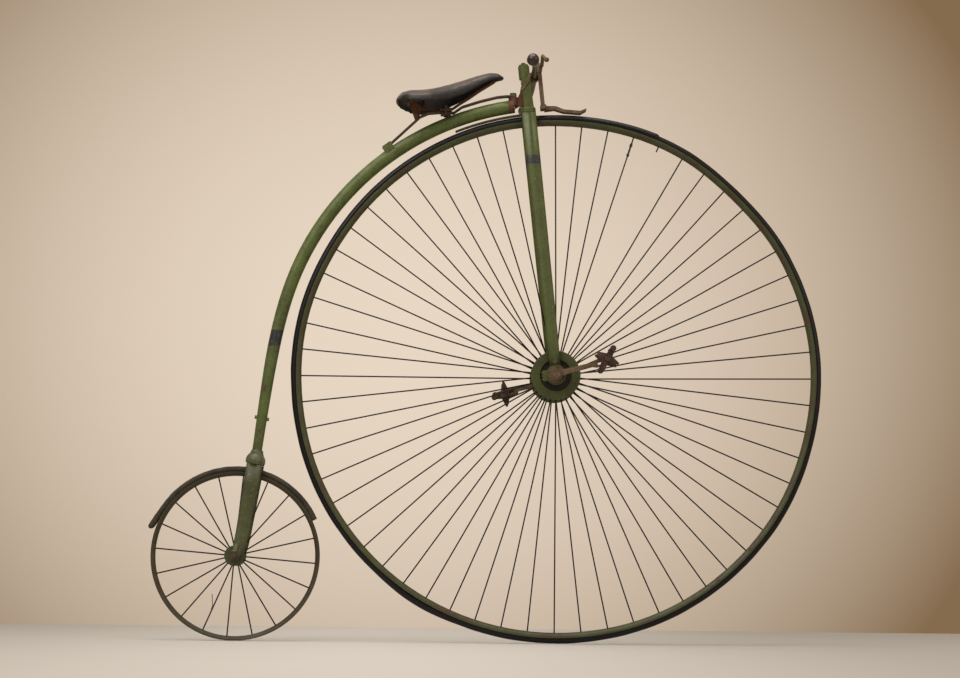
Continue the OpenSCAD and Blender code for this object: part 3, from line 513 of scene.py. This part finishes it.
def wireAlong(name, points, radius, node):
    bm = bmesh.new()
    bmesh.ops.create_circle(bm, segments=6, radius=radius * mm)
    heading = (points[1] - points[0]).normalized()
    aim = heading.to_track_quat("Z", "Y").to_matrix()
    bmesh.ops.rotate(bm, verts=bm.verts, cent=(0, 0, 0), matrix=aim)
    bmesh.ops.translate(bm, verts=bm.verts, vec=points[0])
    edges = bm.edges[:]
    for i in range(1, len(points)):
        made = bmesh.ops.extrude_edge_only(bm, edges=edges)["geom"]
        ring = [g for g in made if isinstance(g, bmesh.types.BMVert)]
        edges = [g for g in made if isinstance(g, bmesh.types.BMEdge) and all(v in ring for v in g.verts)]
        nextHeading = (points[min(i + 1, len(points) - 1)] - points[i - 1]).normalized()
        turn = heading.rotation_difference(nextHeading).to_matrix()
        bmesh.ops.rotate(bm, verts=ring, cent=points[i - 1], matrix=turn)
        bmesh.ops.translate(bm, verts=ring, vec=points[i] - points[i - 1])
        heading = nextHeading
    bmesh.ops.holes_fill(bm, edges=[e for e in bm.edges if e.is_boundary])
    bmesh.ops.recalc_face_normals(bm, faces=bm.faces)
    addPiece(name, bm, node, pedalIron, stands=False)


def coilRound(start, end, turns, wrap, lump=0.0):
    along = (end - start).normalized()
    side = along.cross(Vector((0, 1, 0))).normalized()
    across = along.cross(side)
    points = []
    for i in range(turns * 12 + 1):
        share = i / (turns * 12)
        a = radians(30 * i)
        reach = wrap + lump * max(0, sin(share * pi * 2.6)) ** 2
        points.append(start.lerp(end, share) + (side * cos(a) + across * sin(a)) * reach * mm)
    return points


def spokeWay(s):
    return Vector((cos(radians(s["spokeAngle"])), 0, sin(radians(s["spokeAngle"]))))


def spokeBinding(s):
    hubSide = halfWidth("front_hub").y - s["hubInset"] * mm
    inner = frontAxle + spokeWay(s) * s["hubRadius"] * mm + Vector((0, hubSide, 0))
    outer = frontAxle + spokeWay(s) * s["rimRadius"] * mm + Vector((0, s["rimAside"] * mm, 0))
    along = (outer - inner).normalized()
    start = outer - along * s["fromRim"] * mm
    points = coilRound(start, start - along * s["length"] * mm, s["turns"], s["wrap"], s["lump"])
    wireAlong("spokeBinding", points, s["wire"], "front_spokes")


def spokeWhisker(s):
    outward = spokeWay(s)
    start = rearAxle + outward * s["from"] * mm - Vector((0, s["aside"] * mm, 0))
    points = coilRound(start + outward * s["knot"] * mm, start, s["turns"], s["wrap"])
    rise = Matrix.Rotation(radians(s["lean"]), 3, "Y") @ -outward
    for i in range(1, 10):
        share = i / 9
        points.append(start + rise * s["length"] * share * mm - Vector((0, (2 + 3 * share) * mm, 0)))
    wireAlong("spokeWhisker", points, s["wire"], "rear_spokes")


spokeBinding(bindingSettings)
spokeWhisker(whiskerSettings)
print("bindings made")

# Saddle leather, relaxed and wrinkled
saddleSettings = {"voxel": 3.0, "smoothing": 10, "wrinkle": 0.45, "wrinklesPerMetre": 60}


def saddleTop(s):
    piece = addPiece("saddleHideTop", copyOf("saddle_leather"), "saddle_leather", hide, smooth=80)
    remesh = piece.modifiers.new("even", "REMESH")
    remesh.mode = "VOXEL"
    remesh.voxel_size = s["voxel"] * mm
    relax = piece.modifiers.new("relax", "SMOOTH")
    relax.factor = 0.5
    relax.iterations = s["smoothing"]
    bakeModifiers(piece)
    mesh = piece.data
    if not mesh.materials:
        mesh.materials.append(hide)
    normals = [v.normal.copy() for v in mesh.vertices]
    for vert, normal in zip(mesh.vertices, normals):
        vert.co += normal * noise.noise(vert.co * s["wrinklesPerMetre"]) * s["wrinkle"] * mm
    mesh.shade_smooth()


saddleTop(saddleSettings)
print("saddle made")

# Floor, backdrop and light, in metres
studio = {
    "floorBehind": 1.5, "floorFront": 9.0, "floorSide": 9.0,
    "floor": "#c8c0b5", "floorPale": "#cac3b9", "floorShadeAside": "#aaa297",
    # where the floor's painted pool of light is brightest, and how far out it falls off to the darker side
    # colour
    "brightFrom": -0.4, "floorFade": 1.3,
    "backdrop": "#e8d7c3", "backdropDark": "#866c4e", "backdropFar": "#ab957b",
    "brightWay": (-0.0178, 0.9957, 0.1048), "brightOval": (1.0, 1.0, 1.15), "brightFade": 0.068,
    "worldLight": 0.36,
    "lamps": (  # name, place from the front axle, width and height, watts
        ("keyLamp", (-2.6, -3.4, 3.2), (2.6, 2.6), 110),
        ("topLamp", (-0.3, -0.6, 3.4), (3.2, 1.6), 90),
        ("fillLamp", (3.6, -3.0, 1.6), (2.4, 2.4), 34),
        ("backLamp", (-1.5, 3.6, 2.4), (2.4, 1.6), 18),
    ),
}


def makeFloor(s):
    bm = bmesh.new()
    bmesh.ops.create_grid(bm, x_segments=1, y_segments=1, size=1)
    for vert in bm.verts:
        depth = s["floorBehind"] if vert.co.y > 0 else -s["floorFront"]
        vert.co = Vector((frontAxle.x + s["floorSide"] * vert.co.x, frontAxle.y + depth, floorHeight))
    mesh = bpy.data.meshes.new("studioFloor")
    bm.to_mesh(mesh)
    bm.free()
    material, tree, place = newMaterial("matteFloorPaint")
    tone = blendColour(tree, grain(tree, place, 900, 2), colour(s["floor"]), colour(s["floorPale"]))
    # painted light: the floor is painted darker towards both sides of a bright band, as the lamps' light
    # falls off
    across = partOf(tree, place, "X")
    aside = combine(tree, "ABSOLUTE", combine(tree, "SUBTRACT", across, frontAxle.x + s["brightFrom"]), 0.0)
    fade = addNode(tree, "ShaderNodeMapRange", {"Value": aside, "From Max": s["floorFade"]},
                   interpolation_type="SMOOTHSTEP")
    tone = blendColour(tree, fade.outputs["Result"], tone, colour(s["floorShadeAside"]))
    finishSurface(tree, tone, 0.9, grain(tree, place, 30), 0.05)
    mesh.materials.append(material)
    floor = bpy.data.objects.new("studioFloor", mesh)
    bpy.context.collection.objects.link(floor)


# The backdrop is only what is seen, with a painted pool of light that falls off to darker edges: the world
# lights the object with an even warm white
def makeWorld(s):
    world = bpy.data.worlds.new("studio")
    bpy.context.scene.world = world
    world.use_nodes = True
    tree = world.node_tree
    tree.nodes.clear()
    direction = addNode(tree, "ShaderNodeTexCoord").outputs["Generated"]
    away = vectorMath(tree, "SUBTRACT", "Vector", direction, s["brightWay"])
    oval = vectorMath(tree, "MULTIPLY", "Vector", away, s["brightOval"])
    reach = vectorMath(tree, "LENGTH", "Value", oval)
    # painted light: a bright pool on the backdrop, falling off to the darker colour further out
    fall = between(tree, combine(tree, "MULTIPLY", reach, reach), 0.0, s["brightFade"])
    shown = blendColour(tree, fall, colour(s["backdrop"]), colour(s["backdropDark"]))
    shown = blendColour(tree, between(tree, reach, 0.28, 0.9), shown, colour(s["backdropFar"]))
    path = addNode(tree, "ShaderNodeLightPath").outputs
    mirrored = combine(tree, "MAXIMUM", path["Is Glossy Ray"], path["Is Transmission Ray"])
    seen = combine(tree, "MAXIMUM", path["Is Camera Ray"], mirrored)
    lit = addNode(tree, "ShaderNodeBackground", {"Color": colour("#fff8f0"), "Strength": s["worldLight"]})
    backdrop = addNode(tree, "ShaderNodeBackground", {"Color": shown, "Strength": 1.0})
    mix = addNode(tree, "ShaderNodeMixShader", {"Fac": seen, 1: lit.outputs[0], 2: backdrop.outputs[0]})
    addNode(tree, "ShaderNodeOutputWorld", {"Surface": mix.outputs[0]})


def makeLamp(name, offset, size, power):
    data = bpy.data.lights.new(name, "AREA")
    data.shape = "RECTANGLE"
    data.size, data.size_y = size
    data.energy = power
    data.color = (1.0, 0.98, 0.95)
    lamp = bpy.data.objects.new(name, data)
    bpy.context.collection.objects.link(lamp)
    lamp.location = frontAxle + Vector(offset)
    lamp.rotation_euler = (-Vector(offset)).to_track_quat("-Z", "Y").to_euler()


makeFloor(studio)
makeWorld(studio)
for lamp in studio["lamps"]:
    makeLamp(*lamp)
print("studio made")
